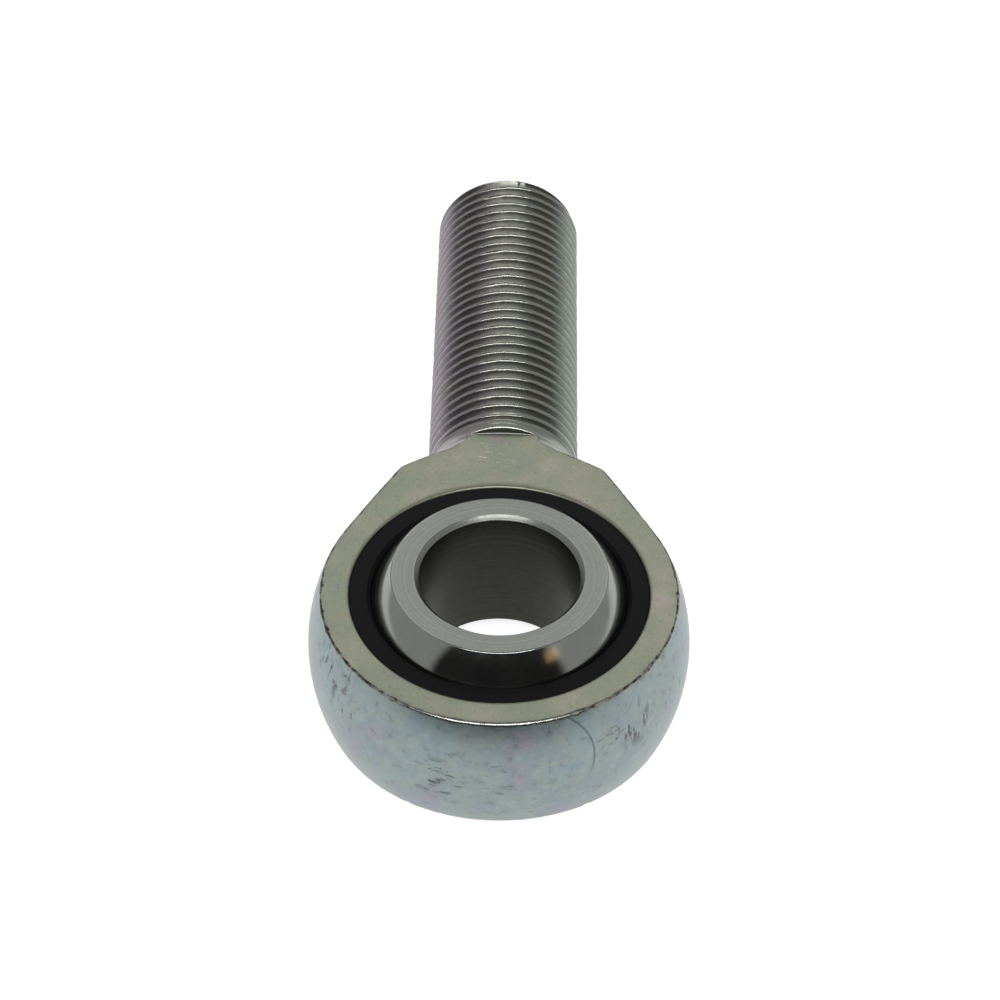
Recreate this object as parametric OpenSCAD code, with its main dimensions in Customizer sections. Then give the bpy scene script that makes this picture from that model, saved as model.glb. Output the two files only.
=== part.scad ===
// Male rod end bearing: a steel eye on a threaded shank, a plastic race moulded
// into the eye, and a bored ball that swivels in the race.
// Millimetres. Origin at the centre of the ball. +Z runs along the bore, towards
// the ball's tall side. +Y runs along the shank, towards its threaded end.

/* [Head] */
// Diameter of the round head, measured across its widest part
head_d = 38.1; // [30:0.1:48]
// Thickness of the head between its two milled flats
head_t = 14.27; // [11:0.01:18]
// Diameter of the eye that holds the race
eye_d = 29.66; // [24:0.01:36]
// Bevel round each mouth of the eye
eye_bevel = 0.2; // [0.1:0.05:0.6]
// Depth of the groove in the eye that locks the race
lock_depth = 0.9; // [0.4:0.1:1.4]
// Width of that groove
lock_w = 3; // [1.5:0.1:5]

/* [Neck] */
// Slope of the straight flanks that leave the round head, from the shank axis
flank_angle = 26; // [15:1:35]
// Distance from the eye's centre to the corner where the flanks end
corner_y = 17.75; // [14:0.05:24]
// Bevel that takes the edge off that corner, measured along each side
corner_run = 0.6; // [0.2:0.1:1.5]
// Slope of the shoulder that drops from the corner to the shank
shoulder_angle = 52; // [35:1:75]
// Radius of the hollow fillet between shoulder and shank
fillet_r = 3.1; // [1:0.1:5]
// Distance from the eye's centre to the square end of the milled flats
flat_end_y = 22.7; // [19:0.1:28]

/* [Shank] */
// Diameter over the thread's crests
thread_d = 15.84; // [12:0.01:20]
// Distance between two crests
thread_pitch = 1.4111; // [1:0.0001:2.5]
// Depth of the thread
thread_depth = 0.85; // [0.5:0.01:1.5]
// Width of the flat on each crest
crest_w = 0.2; // [0.1:0.01:0.4]
// Width of the flat at the bottom of each groove
root_w = 0.25; // [0.1:0.01:0.4]
// Distance from the eye's centre to the lip where the plain neck ends
neck_end_y = 24.2; // [22.8:0.05:30]
// Distance from the eye's centre to the nearest full crest
thread_start_y = 25.27; // [23:0.01:32]
// Distance from the eye's centre to the end of the shank
shank_end_y = 65.4; // [50:0.1:80]
// Bevel on the end of the shank
end_bevel = 0.95; // [0.3:0.05:1.5]

/* [Ball] */
// Diameter of the ball
ball_d = 28.575; // [23:0.005:34]
// Diameter of the bore
bore_d = 15.875; // [12:0.005:20]
// Height of the ball above its centre, to its upper face
ball_up = 9.525; // [7:0.005:12]
// Height of the ball below its centre, to its lower face
ball_down = 5.5; // [4:0.005:12]
// Bevel at each mouth of the bore
bore_bevel = 0.45; // [0.2:0.05:1]

/* [Race] */
// How far the race's faces lie below the flats of the head
race_set = 0.2; // [0:0.05:0.6]
// Width of the bevel between the race's face and its spherical seat
race_bevel = 0.55; // [0.2:0.05:1]

/* [Fits] */
// Clearance between the ball and the race's spherical seat
ball_gap = 0.04; // [0.02:0.01:0.1]
// Clearance between the race and the eye
race_gap = 0.03; // [0.02:0.01:0.08]

/* [Hidden] */
$fn = 96;
eps = 0.01;
head_r = head_d / 2;
half_t = head_t / 2;
eye_r = eye_d / 2;
shank_r = thread_d / 2;
root_r = shank_r - thread_depth;
ball_r = ball_d / 2;
bore_r = bore_d / 2;
seat_r = ball_r + ball_gap;
race_r = eye_r - race_gap;
race_half = half_t - race_set;
// where the flank leaves the round head, and where it ends
flank_y = head_r * sin(flank_angle);
flank_r = head_r * cos(flank_angle);
corner_x = head_r / cos(flank_angle) - corner_y * tan(flank_angle);
// where the shoulder's line meets the shank
foot_y = corner_y + (corner_x - shank_r) / tan(shoulder_angle);
foot_run = fillet_r * tan(shoulder_angle / 2);
crest_count = floor((shank_end_y - thread_start_y) / thread_pitch) + 1;

// The half outline of head, neck and shank that is turned about the shank axis.
// Local x is the radius and local y is the distance along the shank.
module turned_outline() {
    intersection() {
        circle(r = head_r);
        translate([0, -head_r]) square([head_r, 2 * head_r]);
    }
    polygon([
        [0, 0],
        [flank_r, flank_y],
        [corner_x + corner_run * sin(flank_angle), corner_y - corner_run * cos(flank_angle)],
        [corner_x - corner_run * sin(shoulder_angle), corner_y + corner_run * cos(shoulder_angle)],
        [shank_r, foot_y],
        [shank_r, neck_end_y],
        [0, neck_end_y]
    ]);
    fillet_fill();
    square([root_r, shank_end_y]);
}

// The hollow fillet between the shoulder and the shank.
module fillet_fill() {
    cx = shank_r + fillet_r;
    cy = foot_y + foot_run;
    difference() {
        polygon([
            [shank_r - eps, foot_y - eps],
            [shank_r + foot_run * sin(shoulder_angle), foot_y - foot_run * cos(shoulder_angle)],
            [cx, cy],
            [shank_r - eps, cy]
        ]);
        translate([cx, cy]) circle(r = fillet_r);
    }
}

// One crest of the thread, as a ring about the shank axis.
module crest_outline() {
    polygon([
        [root_r - eps, -(thread_pitch - root_w) / 2],
        [shank_r, -crest_w / 2],
        [shank_r, crest_w / 2],
        [root_r - eps, (thread_pitch - root_w) / 2]
    ]);
}

// The bevelled end of the shank, which trims the last crests.
module end_trim_outline() {
    polygon([
        [0, shank_end_y],
        [shank_r - end_bevel, shank_end_y],
        [shank_r + 1, shank_end_y - end_bevel - 1],
        [shank_r + 1, shank_end_y + thread_pitch],
        [0, shank_end_y + thread_pitch]
    ]);
}

// The eye: a through bore with a bevel at each mouth and a locking groove.
module eye_space() {
    rotate_extrude() {
        translate([0, -half_t - 1]) square([eye_r, head_t + 2]);
        translate([0, -lock_w / 2]) square([eye_r + lock_depth, lock_w]);
        polygon([
            [0, half_t - eye_bevel],
            [eye_r, half_t - eye_bevel],
            [eye_r + eye_bevel + 1, half_t + 1],
            [0, half_t + 1]
        ]);
        polygon([
            [0, -half_t + eye_bevel],
            [0, -half_t - 1],
            [eye_r + eye_bevel + 1, -half_t - 1],
            [eye_r, -half_t + eye_bevel]
        ]);
    }
}

// Head and shank are one piece of plated steel.
module rod_end_body() {
    color([0.62, 0.65, 0.64])
    difference() {
        rotate([-90, 0, 0]) rotate_extrude() {
            difference() {
                union() {
                    turned_outline();
                    for (i = [0 : crest_count - 1])
                        translate([0, thread_start_y + i * thread_pitch]) crest_outline();
                }
                end_trim_outline();
            }
        }
        // the two milled flats, each with a square end at the neck
        for (s = [-1, 1])
            translate([-head_r - 1, -head_r - 1, s > 0 ? half_t : -half_t - head_r])
                cube([head_d + 2, head_r + 1 + flat_end_y, head_r]);
        eye_space();
    }
}

// The black plastic ring that lines the eye and carries the ball.
module race() {
    color([0.11, 0.11, 0.11])
    difference() {
        rotate_extrude() {
            translate([seat_r * 0.6, -race_half]) square([race_r - seat_r * 0.6, 2 * race_half]);
            translate([seat_r * 0.8, -lock_w / 2 + race_gap])
                square([race_r + lock_depth - seat_r * 0.8, lock_w - 2 * race_gap]);
        }
        sphere(r = seat_r);
        seat_mouth();
        mirror([0, 0, 1]) seat_mouth();
    }
}

// The bevel between the race's upper face and its seat.
module seat_mouth() {
    mouth_r = sqrt(seat_r * seat_r - race_half * race_half) + race_bevel;
    translate([0, 0, race_half - mouth_r])
        cylinder(r1 = 0, r2 = mouth_r + 1, h = mouth_r + 1);
}

// The steel ball, faced off above and below and bored through.
module ball() {
    color([0.7, 0.71, 0.71])
    difference() {
        sphere(r = ball_r);
        translate([-ball_r, -ball_r, ball_up]) cube([ball_d, ball_d, ball_r]);
        translate([-ball_r, -ball_r, -ball_down - ball_r]) cube([ball_d, ball_d, ball_r]);
        translate([0, 0, -ball_r]) cylinder(r = bore_r, h = ball_d);
        translate([0, 0, ball_up - bore_bevel])
            cylinder(r1 = bore_r, r2 = bore_r + bore_bevel + 1, h = bore_bevel + 1);
        translate([0, 0, -ball_down - 1])
            cylinder(r1 = bore_r + bore_bevel + 1, r2 = bore_r, h = bore_bevel + 1);
    }
}

rod_end_body();
race();
ball();
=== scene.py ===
# %% [markdown]
# A male rod end bearing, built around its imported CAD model. Three pieces make it: a zinc-plated steel body,
# whose round eye runs into a threaded shank, a black plastic race moulded into the eye, and a plated steel
# ball that swivels in the race. The CAD model fixes every size and the joints, so this script only gives
# the pieces their finer shape and their finish. Lengths are typed in millimetres and turned to metres once.

# %% Load the frame
import bmesh
import bpy
import math
import numpy as np
from mathutils import Matrix, Vector


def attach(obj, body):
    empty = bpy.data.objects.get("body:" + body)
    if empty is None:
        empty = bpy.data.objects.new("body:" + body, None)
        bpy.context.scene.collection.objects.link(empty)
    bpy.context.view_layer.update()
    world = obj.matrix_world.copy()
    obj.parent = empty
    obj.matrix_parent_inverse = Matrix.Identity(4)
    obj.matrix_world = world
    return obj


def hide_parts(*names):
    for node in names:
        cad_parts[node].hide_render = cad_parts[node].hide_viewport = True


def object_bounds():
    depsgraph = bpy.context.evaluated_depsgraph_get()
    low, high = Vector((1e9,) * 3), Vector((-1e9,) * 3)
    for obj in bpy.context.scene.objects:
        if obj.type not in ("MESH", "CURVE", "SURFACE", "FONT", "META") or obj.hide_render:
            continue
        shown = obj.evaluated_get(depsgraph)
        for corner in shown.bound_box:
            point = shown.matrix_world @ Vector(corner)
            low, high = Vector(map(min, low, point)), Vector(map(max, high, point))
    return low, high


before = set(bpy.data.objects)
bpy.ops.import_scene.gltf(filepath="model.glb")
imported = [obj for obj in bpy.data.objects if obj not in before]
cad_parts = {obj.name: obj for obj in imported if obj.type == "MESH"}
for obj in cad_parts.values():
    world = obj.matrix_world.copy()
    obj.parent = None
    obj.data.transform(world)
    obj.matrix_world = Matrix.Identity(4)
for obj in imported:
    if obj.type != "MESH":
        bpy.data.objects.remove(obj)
cad_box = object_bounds()
MM = 0.001
print("CAD box in mm:", [[round(v / MM, 2) for v in corner] for corner in cad_box])

# %% [markdown]
# The sizes below are the CAD model's own, in millimetres and radians. They follow the 5/8 inch size of rod
# end, which is an estimate: a round head 38.1 mm wide with two milled flats, a 29.66 mm eye, and a thread of
# 18 turns to the inch.

# %% Sizes of the body
HEAD_R, HALF_T = 19.05, 7.135
EYE_R, EYE_BEVEL = 14.83, 0.2
LOCK_DEPTH, LOCK_HALF = 0.9, 1.5
FLANK, SHOULDER = math.radians(26), math.radians(52)
CORNER_Y, CORNER_ROUND, FILLET_R, FLAT_END = 17.75, 1.6, 3.1, 22.7
SHANK_R, PITCH, DEPTH, FIRST_CREST, SHANK_END, END_BEVEL = 7.92, 1.4111, 0.85, 25.27, 65.4, 0.95
NECK_END, WALL_RUN = 24.2, 0.5
print("thread turns:", round((SHANK_END - FIRST_CREST) / PITCH, 1))

# %% [markdown]
# Head, neck and shank are one turned shape with two flats milled on it, so one list of stations along the
# shank, each with its radius, describes the neck. It could be drawn as a curve and spun, but the flats would
# then have to be cut with a boolean, which leaves long thin triangles that shade badly. Working each point
# out from the radius at its station keeps every face a neat quad.

# %% Stations along the neck
corner_x = HEAD_R / math.cos(FLANK) - CORNER_Y * math.tan(FLANK)
foot_y = CORNER_Y + (corner_x - SHANK_R) / math.tan(SHOULDER)
foot_run = FILLET_R * math.tan(SHOULDER / 2)
corner_run = CORNER_ROUND * math.tan((SHOULDER - FLANK) / 2)


def neck_stations():
    """(distance along the shank, radius) from the end of the round head to the end of the flats."""
    y0, r0 = HEAD_R * math.sin(FLANK), HEAD_R * math.cos(FLANK)
    ya, ra = CORNER_Y - corner_run * math.cos(FLANK), corner_x + corner_run * math.sin(FLANK)
    points = [(y0 + (ya - y0) * t, r0 + (ra - r0) * t) for t in np.linspace(0, 1, 22)]
    cy, cr = ya - CORNER_ROUND * math.sin(FLANK), ra - CORNER_ROUND * math.cos(FLANK)
    for a in np.linspace(FLANK, SHOULDER, 8)[1:]:
        points.append((cy + CORNER_ROUND * math.sin(a), cr + CORNER_ROUND * math.cos(a)))
    yb, rb = points[-1]
    yc = foot_y - foot_run * math.cos(SHOULDER)
    rc = SHANK_R + foot_run * math.sin(SHOULDER)
    points += [(yb + (yc - yb) * t, rb + (rc - rb) * t) for t in np.linspace(0, 1, 9)[1:]]
    fy, fr = foot_y + foot_run, SHANK_R + FILLET_R
    last = math.asin(min(1.0, (fy - FLAT_END) / FILLET_R))
    for a in np.linspace(SHOULDER, last, 14)[1:]:
        points.append((fy - FILLET_R * math.sin(a), fr - FILLET_R * math.cos(a)))
    return points


NECK = neck_stations()
NECK_R = NECK[-1][1]
print("neck stations:", len(NECK), "last radius", round(NECK_R, 3))

# %% [markdown]
# The milled edges of the real piece are not sharp. The cutter left a fine burr that plating rounded over,
# and handling has worn and nicked it, which is what makes the edge glint. So the rounding along the edge
# changes from place to place. A sum of sines gives the same gentle unevenness on every run.

# %% Uneven edges
def ripple(s, seed):
    """A smooth value between about -1 and 1 that changes with s and is the same every run."""
    return sum(math.sin(s * f + seed * 1.7 * k) for k, f in enumerate((0.73, 1.91, 3.37, 5.23), 1)) / 2.6


NICKS = (-41.5, -33.0, -17.5, 9.5, 22.0, 36.5)


def edge_round(s, seed, fade):
    """Radius of the worn edge, in mm, at distance s along it, with a few deeper nicks."""
    worn = 0.045 * ripple(s * 1.3, seed) + 0.05 * max(0.0, ripple(s * 0.6, seed + 2)) ** 3
    nick = sum(0.22 * math.exp(-((s - at - 0.4 * seed) / 0.35) ** 2) for at in NICKS)
    return (0.15 + 0.13 * math.exp(-(s / 13) ** 2) + (worn + nick) * min(1.0, abs(s) / 3)) * fade


# %% [markdown]
# The side of the head is a band that starts at the front, goes round the head, down the flank and over the
# shoulder to the end of the flats. Each column is one place along that path and each row one height. The
# rows at the top and bottom turn the worn edge over into the flat.

# %% The side of head and neck
ROUND_COLS = 84  # columns round the head, before those of the neck
ARC_ROWS = 5  # rows that turn each worn edge over
COL_MM = 0.6  # about how far apart the columns are
FADE_COLS = 10  # the last columns, where the rounding dies out at the neck
FRONT_ROUND = 0.35  # extra rounding of the lower edge in front, in mm
theta_max = math.asin(HALF_T / NECK_R)
side_angles = np.linspace(-theta_max, theta_max, 61)


def side_point(col, z, inset):
    """One point of the right-hand side band at height z, pulled inwards by inset."""
    if col < ROUND_COLS:
        rho = math.sqrt(HEAD_R ** 2 - z ** 2)
        stop = math.asin(HEAD_R * math.sin(FLANK) / rho)
        a = -math.pi / 2 + (stop + math.pi / 2) * col / (ROUND_COLS - 1)
        return (rho - inset) * math.cos(a), (rho - inset) * math.sin(a)
    i = col - ROUND_COLS + 1
    y, r = NECK[i]
    (ya, ra), (yb, rb) = NECK[i - 1], NECK[min(i + 1, len(NECK) - 1)]
    slope = (rb - ra) / (yb - ya) * r / math.sqrt(r ** 2 - z ** 2)
    n = math.hypot(1, slope)
    fade = 0 if i == len(NECK) - 1 else 1
    return math.sqrt(r ** 2 - z ** 2) - inset / n, y + fade * inset * slope / n


COLS = ROUND_COLS + len(NECK) - 1
rows_of_side = 2 * ARC_ROWS + len(side_angles)


def side_band(sign, seed):
    """Rows by columns of points, from the lower flat up to the upper flat, on one side of the head."""
    grid = np.zeros((rows_of_side, COLS, 3))
    for c in range(COLS):
        s = c * COL_MM * sign
        fade = min(1.0, (COLS - 1 - c) / FADE_COLS)
        high = edge_round(s, seed, fade)
        low = edge_round(s, seed + 5, fade) + FRONT_ROUND * math.exp(-(s / 20) ** 2)
        for k in range(rows_of_side):
            if k < ARC_ROWS:
                a = math.pi / 2 * (1 - k / ARC_ROWS)
                z, inset = -HALF_T + low - low * math.sin(a), low * (1 - math.cos(a))
            elif k >= ARC_ROWS + len(side_angles):
                a = math.pi / 2 * (k - ARC_ROWS - len(side_angles) + 1) / ARC_ROWS
                z, inset = HALF_T - high + high * math.sin(a), high * (1 - math.cos(a))
            else:
                t = math.sin(side_angles[k - ARC_ROWS]) / math.sin(theta_max)
                z, inset = t * (HALF_T - (high if t > 0 else low)), 0.0
            x, y = side_point(c, z, inset)
            grid[k, c] = sign * x, y, z
    return grid


right_side, left_side = side_band(1, 3), side_band(-1, 8)
print("side bands:", right_side.shape)

# %% [markdown]
# A mesh is only a list of points and a list of faces. This small keeper takes grids of points and joins
# their neighbours with quads. Grids that meet share the same edge points, and a merge at the end makes the
# whole piece one closed skin.

# %% A keeper for points and faces
class Skin:
    def __init__(self):
        self.points, self.faces, self.finish = [], [], []

    def grid(self, points, finish, around=False):
        """Joins neighbouring points with quads. finish is a number, or a function of row and column."""
        rows, cols = points.shape[:2]
        base = len(self.points)
        self.points += [tuple(p) for p in points.reshape(-1, 3)]
        for r in range(rows - 1):
            for c in range(cols if around else cols - 1):
                d = (c + 1) % cols
                low, high = base + r * cols, base + (r + 1) * cols
                self.faces.append([low + c, low + d, high + d, high + c])
                self.finish.append(finish(r, c) if callable(finish) else finish)

    def piece(self, name, materials, sharp_deg):
        """Makes the Blender object, merges shared points and marks edges sharper than sharp_deg."""
        mesh = bpy.data.meshes.new(name)
        mesh.from_pydata([tuple(v * MM for v in p) for p in self.points], [], self.faces)
        mesh.polygons.foreach_set("material_index", self.finish)
        for m in materials:
            mesh.materials.append(m)
        bm = bmesh.new()
        bm.from_mesh(mesh)
        bmesh.ops.remove_doubles(bm, verts=bm.verts, dist=0.002 * MM)
        bmesh.ops.dissolve_degenerate(bm, edges=bm.edges, dist=0.0005 * MM)
        bmesh.ops.recalc_face_normals(bm, faces=bm.faces)
        loose = [v for v in bm.verts if not v.link_faces]
        bmesh.ops.delete(bm, geom=loose, context="VERTS")
        open_edges = sum(1 for e in bm.edges if len(e.link_faces) != 2)
        bm.to_mesh(mesh)
        bm.free()
        mesh.shade_smooth()
        mesh.set_sharp_from_angle(angle=math.radians(sharp_deg))
        made = bpy.data.objects.new(name, mesh)
        bpy.context.scene.collection.objects.link(made)
        print(name, "faces", len(mesh.polygons), "open edges", open_edges)
        return made


# %% [markdown]
# Each flat is a ring between the outline of the head and the mouth of the eye. Its points lie on straight
# lines from the centre, so a point on the outline and its partner on the eye share one angle. The end of the
# flat at the neck is a straight line, because the cutter stopped there square to the shank.

# %% Outline of the flats
arc_angles = np.linspace(theta_max, math.pi - theta_max, 25)
chord = [(NECK_R * math.cos(a), FLAT_END) for a in arc_angles]


def flat_outline(row, z):
    """Closed loop of points round one flat, from the front, up the right side and back down the left."""
    right = [tuple(right_side[row, c][:2]) for c in range(COLS)]
    left = [tuple(left_side[row, c][:2]) for c in range(COLS)]
    loop = right + chord[1:-1] + left[::-1][:-1]
    return np.array([(x, y, z) for x, y in loop])


def eye_ring(loop, radius, z):
    """The point at this radius under every point of the outline."""
    a = np.arctan2(loop[:, 1], loop[:, 0])
    return np.stack([radius * np.cos(a), radius * np.sin(a), np.full(len(a), z)], axis=1)


top_loop = flat_outline(rows_of_side - 1, HALF_T)
low_loop = flat_outline(0, -HALF_T)
print("points round a flat:", len(top_loop))

# %% [markdown]
# The thread is a real right-hand helix. Plain rings would look the same from straight above, but not where
# the thread runs out at the neck or at the tip. Rows of points follow the helix, so the crest stays crisp,
# and each row is one place on the thread's profile: crest, flank, root, flank.

# %% Profile of the thread
PROFILE = [(0.0, 0.0), (0.04, 0.004), (0.08, 0.025), (0.12, 0.07), (0.16, 0.14), (0.2, 0.23), (0.42, 0.9),
           (0.5, 1.0), (0.58, 0.9), (0.8, 0.23), (0.84, 0.14), (0.88, 0.07), (0.92, 0.025), (0.96, 0.004)]
LEAD_IN, CREST_WEAR, CREST_DENTS = 0.25, 0.03, 0.035  # all in mm


def soft_min(a, b, k):
    """The smaller of a and b, with the corner between them rounded over a width of about k."""
    h = max(0.0, 1.0 - abs(a - b) / k)
    return min(a, b) - k * h * h / 4


def thread_radius(y, depth_share, ang):
    """Radius at distance y along the shank for a point this deep in the groove (0 crest, 1 root)."""
    if y >= SHANK_END:
        return SHANK_R - END_BEVEL
    lead_in = min(1.0, max(0.0, (y - NECK_END) / LEAD_IN))
    lead_in = lead_in * lead_in * (3 - 2 * lead_in)
    flats = CREST_WEAR * max(0.0, ripple(y * 0.9 + 2.2 * math.sin(ang), 11))
    dents = CREST_DENTS * max(0.0, ripple(y * 2.3 + 3.0 * math.sin(3 * ang) + 2.0 * math.cos(5 * ang), 4))
    r = SHANK_R - DEPTH * depth_share * lead_in - (flats + dents) * (1 - depth_share) * lead_in
    if y < FIRST_CREST + 0.5:
        r = soft_min(r, SHANK_R - 0.1 * lead_in, 0.05)
    return soft_min(r, SHANK_R - (y - (SHANK_END - END_BEVEL)), 0.2) if y > SHANK_END - 2 else r


def neck_start(ang):
    """Where the round neck begins: at the flats' end, a little further on above the steep end walls."""
    rise = max(0.0, NECK_R * abs(math.sin(ang)) - HALF_T)
    return FLAT_END + WALL_RUN * rise / (NECK_R - HALF_T)


half_turn = np.concatenate([side_angles[:-1], arc_angles[:-1]])
shank_angles = np.concatenate([half_turn, half_turn + math.pi, arc_angles[-1:] + math.pi])


def neck_rows():
    """Rows of points over the plain neck. The rolling dies left a thin raised lip just before the thread."""
    back = (0.5, 0.28, 0.24, 0.19, 0.14, 0.10, 0.05, 0.0)
    lift = (-0.12, -0.12, -0.105, -0.065, -0.025, -0.005, -0.005, 0.0)
    stations = [(0, 0), (0.12, -0.03), (0.3, -0.09)]
    rows = [[(ang, neck_start(ang) + on, r) for ang in shank_angles] for on, r in stations]
    rows += [[(ang, NECK_END - b, r) for ang in shank_angles] for b, r in zip(back, lift)]
    return np.array([[((NECK_R + r) * math.cos(a), y, (NECK_R + r) * math.sin(a)) for a, y, r in row]
                     for row in rows])


def shank_point(y, depth_share, ang):
    """A point on the threaded part, where the radius starts from the neck's."""
    r = thread_radius(y, depth_share, ang) if y > NECK_END else NECK_R
    return r * math.cos(ang), max(y, NECK_END), r * math.sin(ang)


def thread_rows():
    """Rows by angles of points over the thread, from the neck to the tip."""
    # the helix climbs against the direction in which these angles run, which makes it right-handed
    climb = -PITCH * (shank_angles + math.pi / 2) / (2 * math.pi)
    start = FIRST_CREST - 4 * PITCH + PITCH * 0.5
    turns = int((SHANK_END - start) / PITCH) + 3
    rows = []
    for turn in range(turns):
        for share, depth in PROFILE:
            y = np.minimum(start + (turn + share) * PITCH + climb, SHANK_END)
            rows.append([shank_point(v, depth, a) for v, a in zip(y, shank_angles)])
    return np.array(rows)


# %% [markdown]
# Colours are picked as sRGB hex, as a paint chart gives them, but light adds up in linear values. One
# function turns one into the other. The rest each add one kind of shader node with its settings and links,
# so a finish reads as a list of what feeds what. Textures lie in the object's own coordinates, which are in
# metres, so their scale is worked out from a size in millimetres.

# %% Colour and node helpers
def linear(hex_code):
    """An sRGB hex colour as linear red, green, blue and full alpha."""
    parts = [int(hex_code[i:i + 2], 16) / 255 for i in (1, 3, 5)]
    return tuple(c / 12.92 if c <= 0.04045 else ((c + 0.055) / 1.055) ** 2.4 for c in parts) + (1.0,)


def add(tree, kind, feeds=None, **settings):
    """Adds a node. feeds gives each input a value or, from another node's output, a link."""
    node = tree.nodes.new(kind)
    for name, value in settings.items():
        setattr(node, name, value)
    for name, value in (feeds or {}).items():
        if isinstance(value, bpy.types.NodeSocket):
            tree.links.new(value, node.inputs[name])
        else:
            node.inputs[name].default_value = value
    return node


def per_mm(size):
    """Texture scale that makes one feature this many millimetres across."""
    return 1.0 / (size * MM)


def noise(tree, place, size, detail, rough=0.5, one_way=False):
    """Noise with features this many mm across, through space or, one way, along a measured distance."""
    socket, dimensions = ("W", "1D") if one_way else ("Vector", "3D")
    feeds = {socket: place, "Scale": per_mm(size), "Detail": detail, "Roughness": rough}
    return add(tree, "ShaderNodeTexNoise", feeds, noise_dimensions=dimensions).outputs["Fac"]


def span(tree, value, source, target=(0.0, 1.0)):
    """Stretches the source range over the target range, and stops at its ends."""
    feeds = {"Value": value, "From Min": source[0], "From Max": source[1],
             "To Min": target[0], "To Max": target[1]}
    return add(tree, "ShaderNodeMapRange", feeds).outputs[0]


def ramp(tree, value, stops):
    """Turns a value into a colour, through stops of (value, colour) in order."""
    node = add(tree, "ShaderNodeValToRGB", {"Fac": value})
    row = node.color_ramp.elements
    row[0].position, row[1].position = stops[0][0], stops[-1][0]
    for at, _ in stops[1:-1]:
        row.new(at)
    for stop, (_, colour) in zip(row, stops):
        stop.color = colour if isinstance(colour, tuple) else linear(colour)
    return node.outputs["Color"]


def relief(tree, height, strength, depth):
    """Fine bumps that are this many mm deep at full strength."""
    feeds = {"Strength": strength, "Distance": depth * MM, "Height": height}
    return add(tree, "ShaderNodeBump", feeds).outputs[0]


def maths(tree, operation, *values):
    """One step of arithmetic on numbers."""
    return add(tree, "ShaderNodeMath", dict(enumerate(values)), operation=operation).outputs[0]


def vectors(tree, operation, *values):
    """One step on vectors. MULTIPLY gives a vector, and the others used here give one number."""
    node = add(tree, "ShaderNodeVectorMath", dict(enumerate(values)), operation=operation)
    return node.outputs[0 if operation == "MULTIPLY" else "Value"]


def grey(v):
    """A plain grey, given as the number itself, for a ramp that darkens or brightens another colour."""
    return (v, v, v, 1.0)


def new_material(name):
    """An empty material with its output, its principled shader and the object's own coordinates."""
    m = bpy.data.materials.new(name)
    m.use_nodes = True
    m.node_tree.nodes.clear()
    out = add(m.node_tree, "ShaderNodeOutputMaterial")
    shader = add(m.node_tree, "ShaderNodeBsdfPrincipled")
    m.node_tree.links.new(shader.outputs[0], out.inputs["Surface"])
    place = add(m.node_tree, "ShaderNodeTexCoord").outputs["Object"]
    return m, m.node_tree, shader, place


print("mid grey in linear light:", [round(v, 3) for v in linear("#808080")])

# %% [markdown]
# A finish seldom looks the same all over. Knocks and rubs lie in clusters where the part met its neighbours
# in the bin, so each cluster is a small cloud of dashes held inside a ball at its place on the part. The
# dashes are noise, pulled long in one direction and cut off at a level that leaves only its peaks.

# %% Marks in a cluster
def marks(tree, place, centre, reach, stretch, size, share):
    """Mask of dashes within reach of the centre, all in mm: 1 on a dash and 0 between them."""
    far = vectors(tree, "DISTANCE", place, tuple(v * MM for v in centre))
    near = span(tree, far, (reach * MM, 0.4 * reach * MM))
    pulled = vectors(tree, "MULTIPLY", place, stretch)
    dashes = noise(tree, pulled, size, 3.0, 0.6)
    cut = span(tree, dashes, (share, share + 0.05))
    return maths(tree, "MULTIPLY", near, cut)


def most(tree, masks):
    """The strongest of several masks."""
    total = masks[0]
    for mask in masks[1:]:
        total = maths(tree, "MAXIMUM", total, mask)
    return total


def blend(tree, factor, first, second, kind="MIX"):
    """A colour mix. It keeps its factor in socket 0, its colours in 6 and 7 and its result in socket 2."""
    feeds = {0: factor, 6: first, 7: second}
    return add(tree, "ShaderNodeMix", feeds, data_type="RGBA", blend_type=kind).outputs[2]


def finish_with(tree, shader, colour, roughness, normal=None, metallic=1.0):
    """Joins a finish to its shader."""
    shader.inputs["Metallic"].default_value = metallic
    tree.links.new(colour, shader.inputs["Base Color"])
    tree.links.new(roughness, shader.inputs["Roughness"])
    if normal:
        tree.links.new(normal, shader.inputs["Normal"])
    print("finish nodes:", len(tree.nodes))


# %% [markdown]
# Bright zinc plating is a metal coat about a hundredth of a millimetre thick, dipped in a passivate that
# leaves a film thinner still. The film is what gives it faint clouds of yellow-green, pink and blue. The
# clouds are some 3 to 8 mm across, so their noise is set at 6 mm here and 5 mm on the side. Under them the
# milled flat has a fine grain from the cutter, and short bright scratches by the neck.

# %% Finish of the milled flats
zinc_flat, tree, shader, place = new_material("zinc_plated_milled_flat")
clouds = noise(tree, place, 6, 4.0, 0.6)
tint = ramp(tree, clouds, [
    (0.30, "#9B918E"), (0.41, "#8F9080"), (0.50, "#8D907E"), (0.59, "#899181"), (0.70, "#938D8B")])
specks = noise(tree, place, 0.28, 2.0, 0.6)
speckled = ramp(tree, specks, [
    (0.28, grey(0.68)), (0.37, grey(0.97)), (0.66, grey(1.0)), (0.72, grey(1.25))])
scratched = marks(tree, place, (-0.6, 19.7, HALF_T), 2.9, (0.25, 1.0, 1.0), 0.2, 0.63)
plain = blend(tree, 1.0, tint, speckled, "MULTIPLY")
grain = noise(tree, place, 0.14, 3.0, 0.6)
rough = span(tree, clouds, (0.3, 0.7), (0.36, 0.44))
bump = relief(tree, grain, 0.3, 0.02)
finish_with(tree, shader, blend(tree, scratched, plain, linear("#C2C4BB")), rough, bump)

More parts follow.
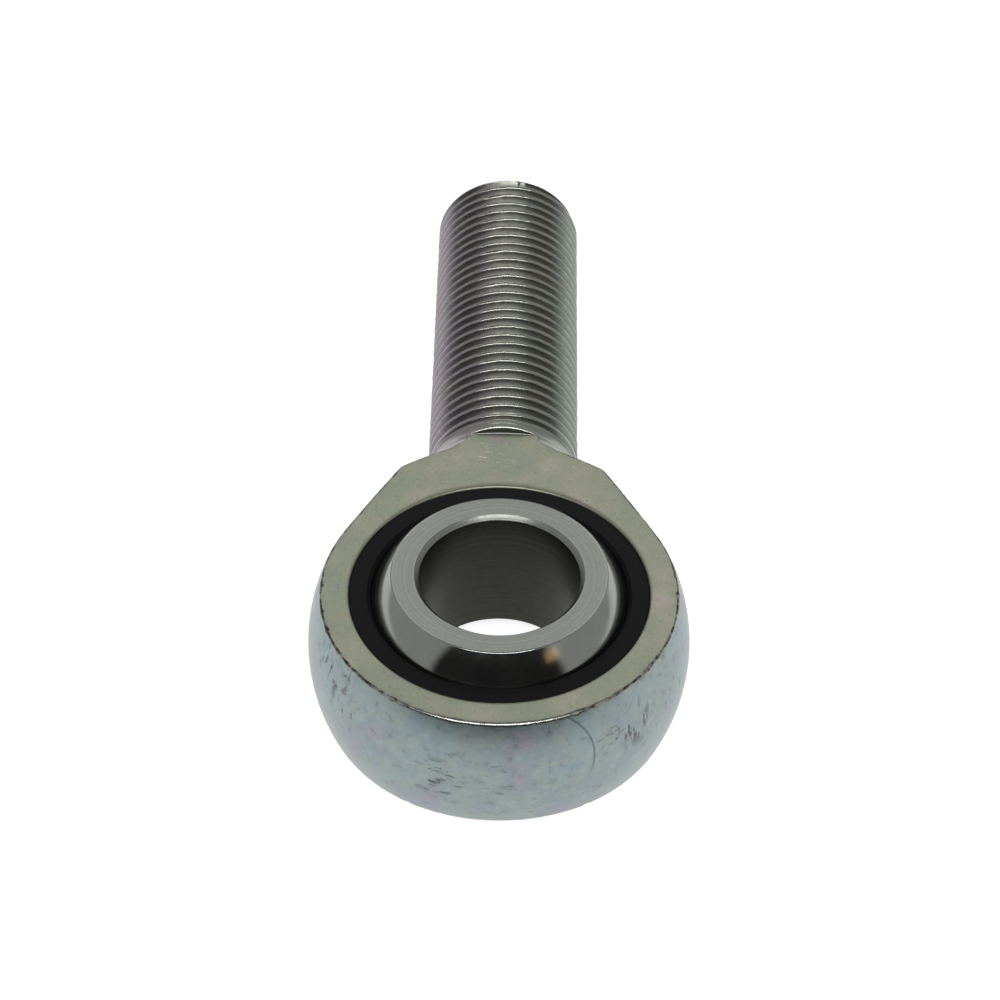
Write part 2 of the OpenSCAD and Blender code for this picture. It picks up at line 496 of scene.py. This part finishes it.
# %% [markdown]
# The side of the head keeps the skin of its forging under the same plating: softer, bluer clouds, shallow
# dimples a little over 1 mm across, dark scuffs where it was knocked, and one long curved scratch. The
# scratch is where the round side meets a thin slice of space, which gives an even line on any shape.

# %% Finish of the forged side
zinc_side, tree, shader, place = new_material("zinc_plated_forged_side")
clouds = noise(tree, place, 5, 5.0, 0.62)
tint = ramp(tree, clouds, [
    (0.30, "#82949B"), (0.41, "#8A989A"), (0.50, "#8D9795"), (0.58, "#869297"), (0.68, "#909099")])
wear = noise(tree, place, 1.2, 5.0, 0.65)
worn = ramp(tree, wear, [
    (0.28, grey(0.6)), (0.42, grey(0.92)), (0.58, grey(1.0)), (0.74, grey(1.2))])
plain = blend(tree, 1.0, tint, worn, "MULTIPLY")
UPRIGHT, LEVEL = (1.5, 1.5, 0.4), (0.4, 0.4, 1.4)
SCUFFS = [  # place, reach, direction of the dashes, size and level
    ((-15.8, -9.1, 5.4), 4.2, UPRIGHT, 0.9, 0.56), ((-14.7, -11.7, 3.0), 3.0, UPRIGHT, 0.8, 0.61),
    ((-5.8, -18.1, -0.5), 3.6, LEVEL, 0.75, 0.56), ((0.4, -19.0, 0.3), 2.8, LEVEL, 0.6, 0.6),
    ((13.1, -13.5, 2.8), 3.4, UPRIGHT, 1.1, 0.53), ((11.2, -15.3, 2.2), 2.4, LEVEL, 0.6, 0.6),
    ((17.1, -8.4, 0.8), 3.6, UPRIGHT, 0.8, 0.62), ((15.0, 11.0, -2.0), 4.0, LEVEL, 0.7, 0.61),
    ((-15.5, 10.5, 1.0), 4.5, UPRIGHT, 0.8, 0.62), ((4.0, -18.0, -5.0), 3.0, LEVEL, 0.6, 0.63)]
scuffs = most(tree, [marks(tree, place, *scuff) for scuff in SCUFFS])
SLICE, SLICE_AT = (-0.175, 0.981, -0.0955), -17.96
depth = vectors(tree, "DOT_PRODUCT", place, SLICE)
off_slice = maths(tree, "SUBTRACT", depth, SLICE_AT * MM)
off_slice = maths(tree, "ABSOLUTE", off_slice)
line = span(tree, off_slice, (0.05 * MM, 0.02 * MM), (0.0, 0.7))
along = vectors(tree, "DISTANCE", place, (8.9 * MM, -16.3 * MM, 4.0 * MM))
reach = span(tree, along, (5.0 * MM, 3.5 * MM))
scratch = maths(tree, "MULTIPLY", line, reach)
dark = maths(tree, "MULTIPLY", most(tree, [scuffs, scratch]), 0.8)
dimples = noise(tree, place, 1.3, 4.0, 0.55)
rough = span(tree, wear, (0.3, 0.7), (0.33, 0.43))
bump = relief(tree, dimples, 0.4, 0.08)
finish_with(tree, shader, blend(tree, dark, plain, linear("#45413F")), rough, bump)

# %% [markdown]
# Along the edges of the head the colour is dark and spotty: partly plating knocked through, partly painted
# shade along the edge. In front the edge colour is painted brighter, a painted glint of the light there.

# %% Finish of the worn edges, with painted shade and a painted glint
zinc_edge, tree, shader, place = new_material("zinc_worn_edge_painted_shade_and_glint")
chips = noise(tree, place, 0.8, 4.0, 0.6)
apart = add(tree, "ShaderNodeSeparateXYZ", {"Vector": place})
# painted glint: the edge colour brightens towards the front of the head
front_painted_glint = span(tree, apart.outputs["Y"], (-13 * MM, -18 * MM), (-0.02, 0.2))
level = maths(tree, "ADD", chips, front_painted_glint)
shade = ramp(tree, level, [
    (0.38, "#3A342E"), (0.47, "#5E5B55"), (0.56, "#858780"), (0.68, "#A3A69F")])
rough = span(tree, level, (0.35, 0.65), (0.45, 0.24))
bump = relief(tree, chips, 0.3, 0.03)
finish_with(tree, shader, shade, rough, bump)

# %% [markdown]
# A rolled thread is burnished by the dies, so it is shinier than the head. Its colour is darkened towards
# the roots, following the distance from the shank's axis: painted shade in the grooves. Its film shows
# pink on one side of the shank and green on the other.

# %% Finish of the thread
zinc_thread, tree, shader, place = new_material("zinc_plated_rolled_thread")
to_axis = vectors(tree, "MULTIPLY", place, (1.0, 0.0, 1.0))
radius = vectors(tree, "LENGTH", to_axis)
height = span(tree, radius, ((SHANK_R - DEPTH) * MM, SHANK_R * MM))
# painted shade: the colour darkens from the crests down to the roots of the thread
root_painted_shade = ramp(tree, height, [
    (0.0, grey(0.5)), (0.4, grey(0.65)), (0.75, grey(0.85)), (0.93, grey(1.0))])
apart = add(tree, "ShaderNodeSeparateXYZ", {"Vector": place})
film = noise(tree, place, 3.0, 3.0)
side_to_side = span(tree, apart.outputs["X"], (-SHANK_R * MM, SHANK_R * MM), (-0.15, 0.55))
film_sum = maths(tree, "MULTIPLY_ADD", film, 0.6, side_to_side)
film_tint = ramp(tree, film_sum, [
    (0.05, "#8E848E"), (0.25, "#8B868A"), (0.45, "#8A8A82"), (0.65, "#868B84"), (0.9, "#80897F")])
colour = blend(tree, 1.0, film_tint, root_painted_shade, "MULTIPLY")
grain = noise(tree, place, 0.9, 3.0, 0.55)
rough = span(tree, height, (0.3, 0.95), (0.36, 0.24))
bump = relief(tree, grain, 0.35, 0.05)
finish_with(tree, shader, colour, rough, bump)

# %% [markdown]
# Now the skin of the body is put together: both side bands, both flats out to the eye, the wall of the eye
# with its locking groove, the two little walls where the flats stop, and the threaded shank with its tip.

# %% The body
FLAT, SIDE, THREAD, EDGE = 0, 1, 2, 3
NECK_COLS = 13  # the last columns of a side band, in the hollow of the neck
body = Skin()


def band_finish(row, col):
    """Worn edges with painted shade and a painted glint at the top and bottom, forged skin between them, and
    the thread's finish on the neck.
    """
    if col >= COLS - NECK_COLS:
        return THREAD
    return SIDE if ARC_ROWS <= row < rows_of_side - ARC_ROWS - 1 else EDGE


body.grid(right_side, band_finish)
body.grid(left_side, band_finish)
for loop, up in ((top_loop, 1), (low_loop, -1)):
    mouth = eye_ring(loop, EYE_R + EYE_BEVEL, up * HALF_T)
    body.grid(np.array([mouth + (loop - mouth) * t for t in np.linspace(0, 1, 7) ** 1.2]), FLAT, around=True)
wall = [(EYE_R + EYE_BEVEL, HALF_T), (EYE_R + 0.12, HALF_T - 0.04), (EYE_R + 0.04, HALF_T - 0.12),
        (EYE_R, HALF_T - EYE_BEVEL), (EYE_R, LOCK_HALF), (EYE_R + LOCK_DEPTH, LOCK_HALF)]
wall += [(r, -z) for r, z in wall[::-1]]
body.grid(np.array([eye_ring(top_loop if z > 0 else low_loop, r, z) for r, z in wall]), FLAT, around=True)
for up in (1, -1):
    end_wall = []
    for t, u in ((0, 0), (0.05, 0.01), (0.37, 0.18), (0.43, 0.26), (0.48, 0.45), (0.52, 0.6), (0.57, 0.74),
                 (0.63, 0.81), (0.93, 0.975), (1, 1)):
        row = []
        for x, y in chord:
            rise = math.sqrt(NECK_R ** 2 - x ** 2) - HALF_T
            run = WALL_RUN * rise / (NECK_R - HALF_T)
            row.append((x, y + run * t, up * (HALF_T + rise * u)))
        end_wall.append(row)
    body.grid(np.array(end_wall), THREAD)
thread = thread_rows()
body.grid(neck_rows(), THREAD)
body.grid(thread, THREAD)
rim = thread[-1]
tip = [rim] + [np.stack([rim[:, 0] * k, np.full(len(rim), SHANK_END), rim[:, 2] * k], axis=1)
               for k in (0.97, 0.6, 0.3, 0.02)]
body.grid(np.array(tip), THREAD)
body.grid(np.array([tip[-1], np.tile([0.0, SHANK_END, 0.0], (len(rim), 1))]), THREAD)
steel_body = body.piece("rod_end_body_steel", [zinc_flat, zinc_side, zinc_thread, zinc_edge], 32)
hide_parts("rod_end_body")
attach(steel_body, "rod_end_body")

# %% [markdown]
# Race and ball are turned shapes, so each is a profile of radius and height carried round the bore axis. The
# profile has a few more points than the CAD model, to round the edges that a mould or a lathe leaves soft.

# %% Turning helper
def turned(name, profile, materials, finishes, sharp_deg, cuts=288):
    """Carries a closed profile of (radius, height) round the bore axis, with one finish per step."""
    skin = Skin()
    around = np.linspace(0, 2 * math.pi, cuts, endpoint=False)
    for (a, b), finish in zip(zip(profile, profile[1:] + profile[:1]), finishes):
        rings = [np.stack([r * np.cos(around), r * np.sin(around), np.full(cuts, z)], axis=1)
                 for r, z in (a, b)]
        skin.grid(np.array(rings), finish, around=True)
    return skin.piece(name, materials, sharp_deg)


def rounded(corner, before, after, radius, parts=4):
    """Points that round one corner of a profile."""
    c, p, n = np.array(corner), np.array(before), np.array(after)
    u, v = (p - c) / np.linalg.norm(p - c), (n - c) / np.linalg.norm(n - c)
    half = math.acos(max(-1, min(1, float(u @ v)))) / 2
    run = radius / math.tan(half)
    a, b = c + u * run, c + v * run
    return [tuple((1 - t) ** 2 * a + 2 * t * (1 - t) * c + t ** 2 * b) for t in np.linspace(0, 1, parts + 1)]


# %% [markdown]
# The race is black glass-filled nylon, moulded into the eye round the ball. A mould of spark-eroded steel
# leaves it matt with a very fine even grain, and a dark plastic that is not polished shows almost no colour.

# %% Finish and shape of the race
nylon, tree, shader, place = new_material("black_moulded_nylon")
grain = noise(tree, place, 0.22, 3.0)
patches = noise(tree, place, 3, 3.0)
shade = ramp(tree, patches, [(0.35, "#090909"), (0.65, "#0F0F0F")])
rough = span(tree, patches, (0.0, 1.0), (0.5, 0.66))
bump = relief(tree, grain, 0.3, 0.02)
shader.inputs["IOR"].default_value = 1.53
shader.inputs["Specular IOR Level"].default_value = 0.12
finish_with(tree, shader, shade, rough, bump, metallic=0.0)

BALL_R, SEAT_R, RACE_R, RACE_HALF, RACE_BEVEL = 14.2875, 14.3275, 14.80, 6.935, 0.55
mouth_r = math.sqrt(SEAT_R ** 2 - RACE_HALF ** 2) + RACE_BEVEL
# the 45 degree bevel runs down from the mouth until it meets the sphere of the seat
down = ((mouth_r + RACE_HALF) - math.sqrt(2 * SEAT_R ** 2 - (mouth_r - RACE_HALF) ** 2)) / 2
meet = (mouth_r - down, RACE_HALF - down)
seat_angles = np.linspace(0, math.atan2(meet[1], meet[0]), 18)
seat = [(SEAT_R * math.cos(a), SEAT_R * math.sin(a)) for a in seat_angles]
upper = seat + rounded((mouth_r, RACE_HALF), meet, (RACE_R, RACE_HALF), 0.10)
upper += rounded((RACE_R, RACE_HALF), (mouth_r, RACE_HALF), (RACE_R, 0), 0.08)
upper += [(RACE_R, LOCK_HALF - 0.03), (RACE_R + LOCK_DEPTH, LOCK_HALF - 0.03)]
race_profile = upper + [(r, -z) for r, z in upper[::-1][:-1]]
race = turned("race_ring", race_profile, [nylon], [0] * len(race_profile), 35)
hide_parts("race")
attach(race, "race")

# %% [markdown]
# The ball is bearing steel with a bright plating. Its sphere is polished, because it has to slide in the
# race, and mirrors the room. Its two faces and the bore were only turned, so they carry fine grooves round
# the axis that blur what they reflect. The real grooves are probably near 0.1 mm apart, too fine to see
# from here, so they are drawn at 0.22 mm. The bore's colour is painted dark, as painted shade inside it.

# %% Finishes of the ball
ball_polished, tree, shader, place = new_material("polished_plated_steel")
haze = noise(tree, place, 2.5, 5.0, 0.65)
rough = span(tree, haze, (0.3, 0.7), (0.09, 0.17))
shade = ramp(tree, haze, [(0.3, "#898C89"), (0.7, "#929490")])
finish_with(tree, shader, shade, rough)

ball_turned, tree, shader, place = new_material("fine_turned_plated_steel")
to_axis = vectors(tree, "MULTIPLY", place, (1.0, 1.0, 0.0))
from_axis = vectors(tree, "LENGTH", to_axis)
rings = noise(tree, from_axis, 0.22, 3.0, 0.7, one_way=True)
mottle = noise(tree, place, 0.45, 4.0, 0.65)
both = add(tree, "ShaderNodeMix", {0: 0.35, 2: rings, 3: mottle})
shade = ramp(tree, both.outputs[0], [
    (0.38, "#777975"), (0.46, "#7E807B"), (0.54, "#82847F"), (0.64, "#8B8D88")])
rough = span(tree, mottle, (0.3, 0.7), (0.3, 0.4))
bump = relief(tree, both.outputs[0], 0.4, 0.02)
finish_with(tree, shader, shade, rough, bump)

ball_bore_painted_shade, tree, shader, place = new_material("bored_steel_with_painted_shade")
apart = add(tree, "ShaderNodeSeparateXYZ", {"Vector": place})
rings = noise(tree, apart.outputs["Z"], 0.45, 4.0, 0.7, one_way=True)
mottle = noise(tree, place, 0.9, 4.0, 0.65)
both = add(tree, "ShaderNodeMix", {0: 0.5, 2: rings, 3: mottle})
# painted shade: the bore's colour is made far darker than the turned faces, as shade inside the bore
shade = ramp(tree, both.outputs[0], [(0.35, "#353632"), (0.65, "#42433E")])
rough = span(tree, mottle, (0.3, 0.7), (0.34, 0.44))
bump = relief(tree, rings, 0.4, 0.03)
finish_with(tree, shader, shade, rough, bump)

# %% The ball
BORE_R, BALL_UP, BALL_DOWN, BORE_BEVEL = 7.9375, 9.525, -5.5, 0.45
face_r, low_r = math.sqrt(BALL_R ** 2 - BALL_UP ** 2), math.sqrt(BALL_R ** 2 - BALL_DOWN ** 2)
POLISHED, TURNED, BORED = 0, 1, 2
from_lat, to_lat = math.asin((BALL_UP - 0.1) / BALL_R), math.asin((BALL_DOWN + 0.12) / BALL_R)
bore_mouth, face_mouth = (BORE_R, BALL_UP - BORE_BEVEL), (BORE_R + BORE_BEVEL, BALL_UP)
STRETCHES = [
    ([(BORE_R, BALL_DOWN + BORE_BEVEL)] + [(BORE_R, z) for z in np.linspace(-3, 7, 6)], BORED),
    (rounded(bore_mouth, (BORE_R, 0), face_mouth, 0.1, 3), TURNED),
    (rounded(face_mouth, bore_mouth, (face_r, BALL_UP), 0.06, 3), TURNED),
    (rounded((face_r, BALL_UP), (BORE_R, BALL_UP), (face_r + 0.89, BALL_UP - 1), 0.2), POLISHED),
    ([(BALL_R * math.cos(a), BALL_R * math.sin(a)) for a in np.linspace(from_lat, to_lat, 60)], POLISHED),
    (rounded((low_r, BALL_DOWN), (low_r + 0.4, BALL_DOWN + 1), (BORE_R, BALL_DOWN), 0.12), TURNED),
    ([(BORE_R + BORE_BEVEL, BALL_DOWN)], TURNED)]
ball_profile = [point for points, _ in STRETCHES for point in points]
ball_finish = [finish for points, finish in STRETCHES for _ in points]
steel_ball = turned("ball_steel", ball_profile, [ball_polished, ball_turned, ball_bore_painted_shade], ball_finish, 30)
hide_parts("ball")
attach(steel_ball, "ball")

# %% [markdown]
# Floor. The part stands on a white sheet lit a little from below, like a light table, so the sheet stays
# pale even under the part and the gap below the bore does not go black. The sheet ends 72 mm in front of the
# eye. Past that edge it is dark, and this is what gives the thread its dark middle and its pale sides.

# %% Floor
SHEET_FRONT, SHEET_HALF, SHEET_GLOW = -72 * MM, 2.0, 0.82
lowest = min(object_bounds()[0][2], cad_box[0][2])
middle = (0, SHEET_FRONT + SHEET_HALF, lowest - 0.05 * MM)
bpy.ops.mesh.primitive_plane_add(size=2 * SHEET_HALF, location=middle)
floor = bpy.context.object
floor.name = "floor"
paper, tree, shader, place = new_material("white_light_table_sheet")
fibres = noise(tree, place, 0.8, 2.0)
shade = ramp(tree, fibres, [(0.3, "#BDBDBD"), (0.7, "#C1C1C1")])
shader.inputs["Roughness"].default_value = 0.9
shader.inputs["Specular IOR Level"].default_value = 0.0
shader.inputs["Emission Color"].default_value = (1, 1, 1, 1)
shader.inputs["Emission Strength"].default_value = SHEET_GLOW
tree.links.new(shade, shader.inputs["Base Color"])
floor.data.materials.append(paper)
print("floor height in mm:", round(lowest / MM, 2))

# %% [markdown]
# Polished metal shows nothing but what stands round it, so the room matters more than the lamps. This one is
# a pale tent with an opening in front, low down, where the viewer stands, and a darker roof. The opening
# draws the dark band on the ball, and the roof the dark grooves of the thread.

# %% The tent round the part
world = bpy.data.worlds.new("studio_tent")
bpy.context.scene.world = world
world.use_nodes = True
tree = world.node_tree
tree.nodes.clear()
facing = add(tree, "ShaderNodeTexCoord").outputs["Generated"]
apart = add(tree, "ShaderNodeSeparateXYZ", {"Vector": facing})
front = span(tree, apart.outputs["Y"], (-0.63, -0.56), (0.05, 1.0))
above = span(tree, apart.outputs["Z"], (0.68, 0.74))
walls = maths(tree, "MAXIMUM", front, above)
roof = span(tree, apart.outputs["Z"], (0.80, 0.92), (0.6, 0.2))
tent = maths(tree, "MULTIPLY", walls, roof)
inside = add(tree, "ShaderNodeBackground", {"Color": (1, 1, 1, 1), "Strength": tent})
outside = add(tree, "ShaderNodeBackground", {"Color": (1, 1, 1, 1), "Strength": 1.0})
seen = add(tree, "ShaderNodeLightPath").outputs["Is Camera Ray"]
either = add(tree, "ShaderNodeMixShader", {0: seen, 1: inside.outputs[0], 2: outside.outputs[0]})
add(tree, "ShaderNodeOutputWorld", {"Surface": either.outputs[0]})

# %% Lights
def soft_light(name, azimuth, elevation, size, brightness, colour=(1, 1, 1)):
    """A soft box 1 m away, facing the part; azimuth 0 is in front and grows to the right."""
    a, e = math.radians(azimuth), math.radians(elevation)
    place = Vector((math.sin(a) * math.cos(e), -math.cos(a) * math.cos(e), math.sin(e)))
    data = bpy.data.lights.new(name, "AREA")
    data.shape, data.size, data.size_y, data.color = "RECTANGLE", size[0], size[1], colour
    data.energy = brightness * math.pi * size[0] * size[1]
    made = bpy.data.objects.new(name, data)
    made.location = place
    made.rotation_mode = "QUATERNION"
    made.rotation_quaternion = (-place).to_track_quat("-Z", "Y")
    bpy.context.scene.collection.objects.link(made)


soft_light("back_tube_right", 170, 46, (0.10, 0.45), 2.5)
soft_light("back_tube_left", 190, 46, (0.10, 0.45), 2.5)
soft_light("front_strip", 0, 53, (0.9, 0.12), 13)
soft_light("warm_spot", 48, 24, (0.2, 0.14), 0.9, (1.0, 0.62, 0.25))
print("lights:", [light.name for light in bpy.data.lights])

# %% [markdown]
# The camera stands in front of the head and looks down at about 44 degrees along the shank. Its place and
# its long lens were worked out so that the head, the eye, the thread and the tip all fall where they should.

# %% Camera
EYE_POINT, LENS, SENSOR = (2.062, -214.132, 224.855), 111.585, 36.0
azimuth, elevation, roll = (math.radians(v) for v in (0.5575, 43.798, 0.5363))
back = Vector((math.sin(azimuth) * math.cos(elevation), -math.cos(azimuth) * math.cos(elevation),
               math.sin(elevation)))
right0 = Vector((math.cos(azimuth), math.sin(azimuth), 0))
up0 = back.cross(right0)
right = right0 * math.cos(roll) + up0 * math.sin(roll)
up = up0 * math.cos(roll) - right0 * math.sin(roll)
data = bpy.data.cameras.new("viewer")
data.sensor_width, data.lens = SENSOR, LENS
data.clip_start, data.clip_end = 0.01, 20
camera = bpy.data.objects.new("viewer", data)
bpy.context.scene.collection.objects.link(camera)
place = Vector(EYE_POINT) * MM
turn = Matrix((right, up, back)).transposed().to_4x4()
camera.matrix_world = Matrix.Translation(place) @ turn
bpy.context.scene.camera = camera
bpy.context.scene.view_settings.view_transform = "Standard"
print("camera distance in mm:", round(place.length / MM, 1))
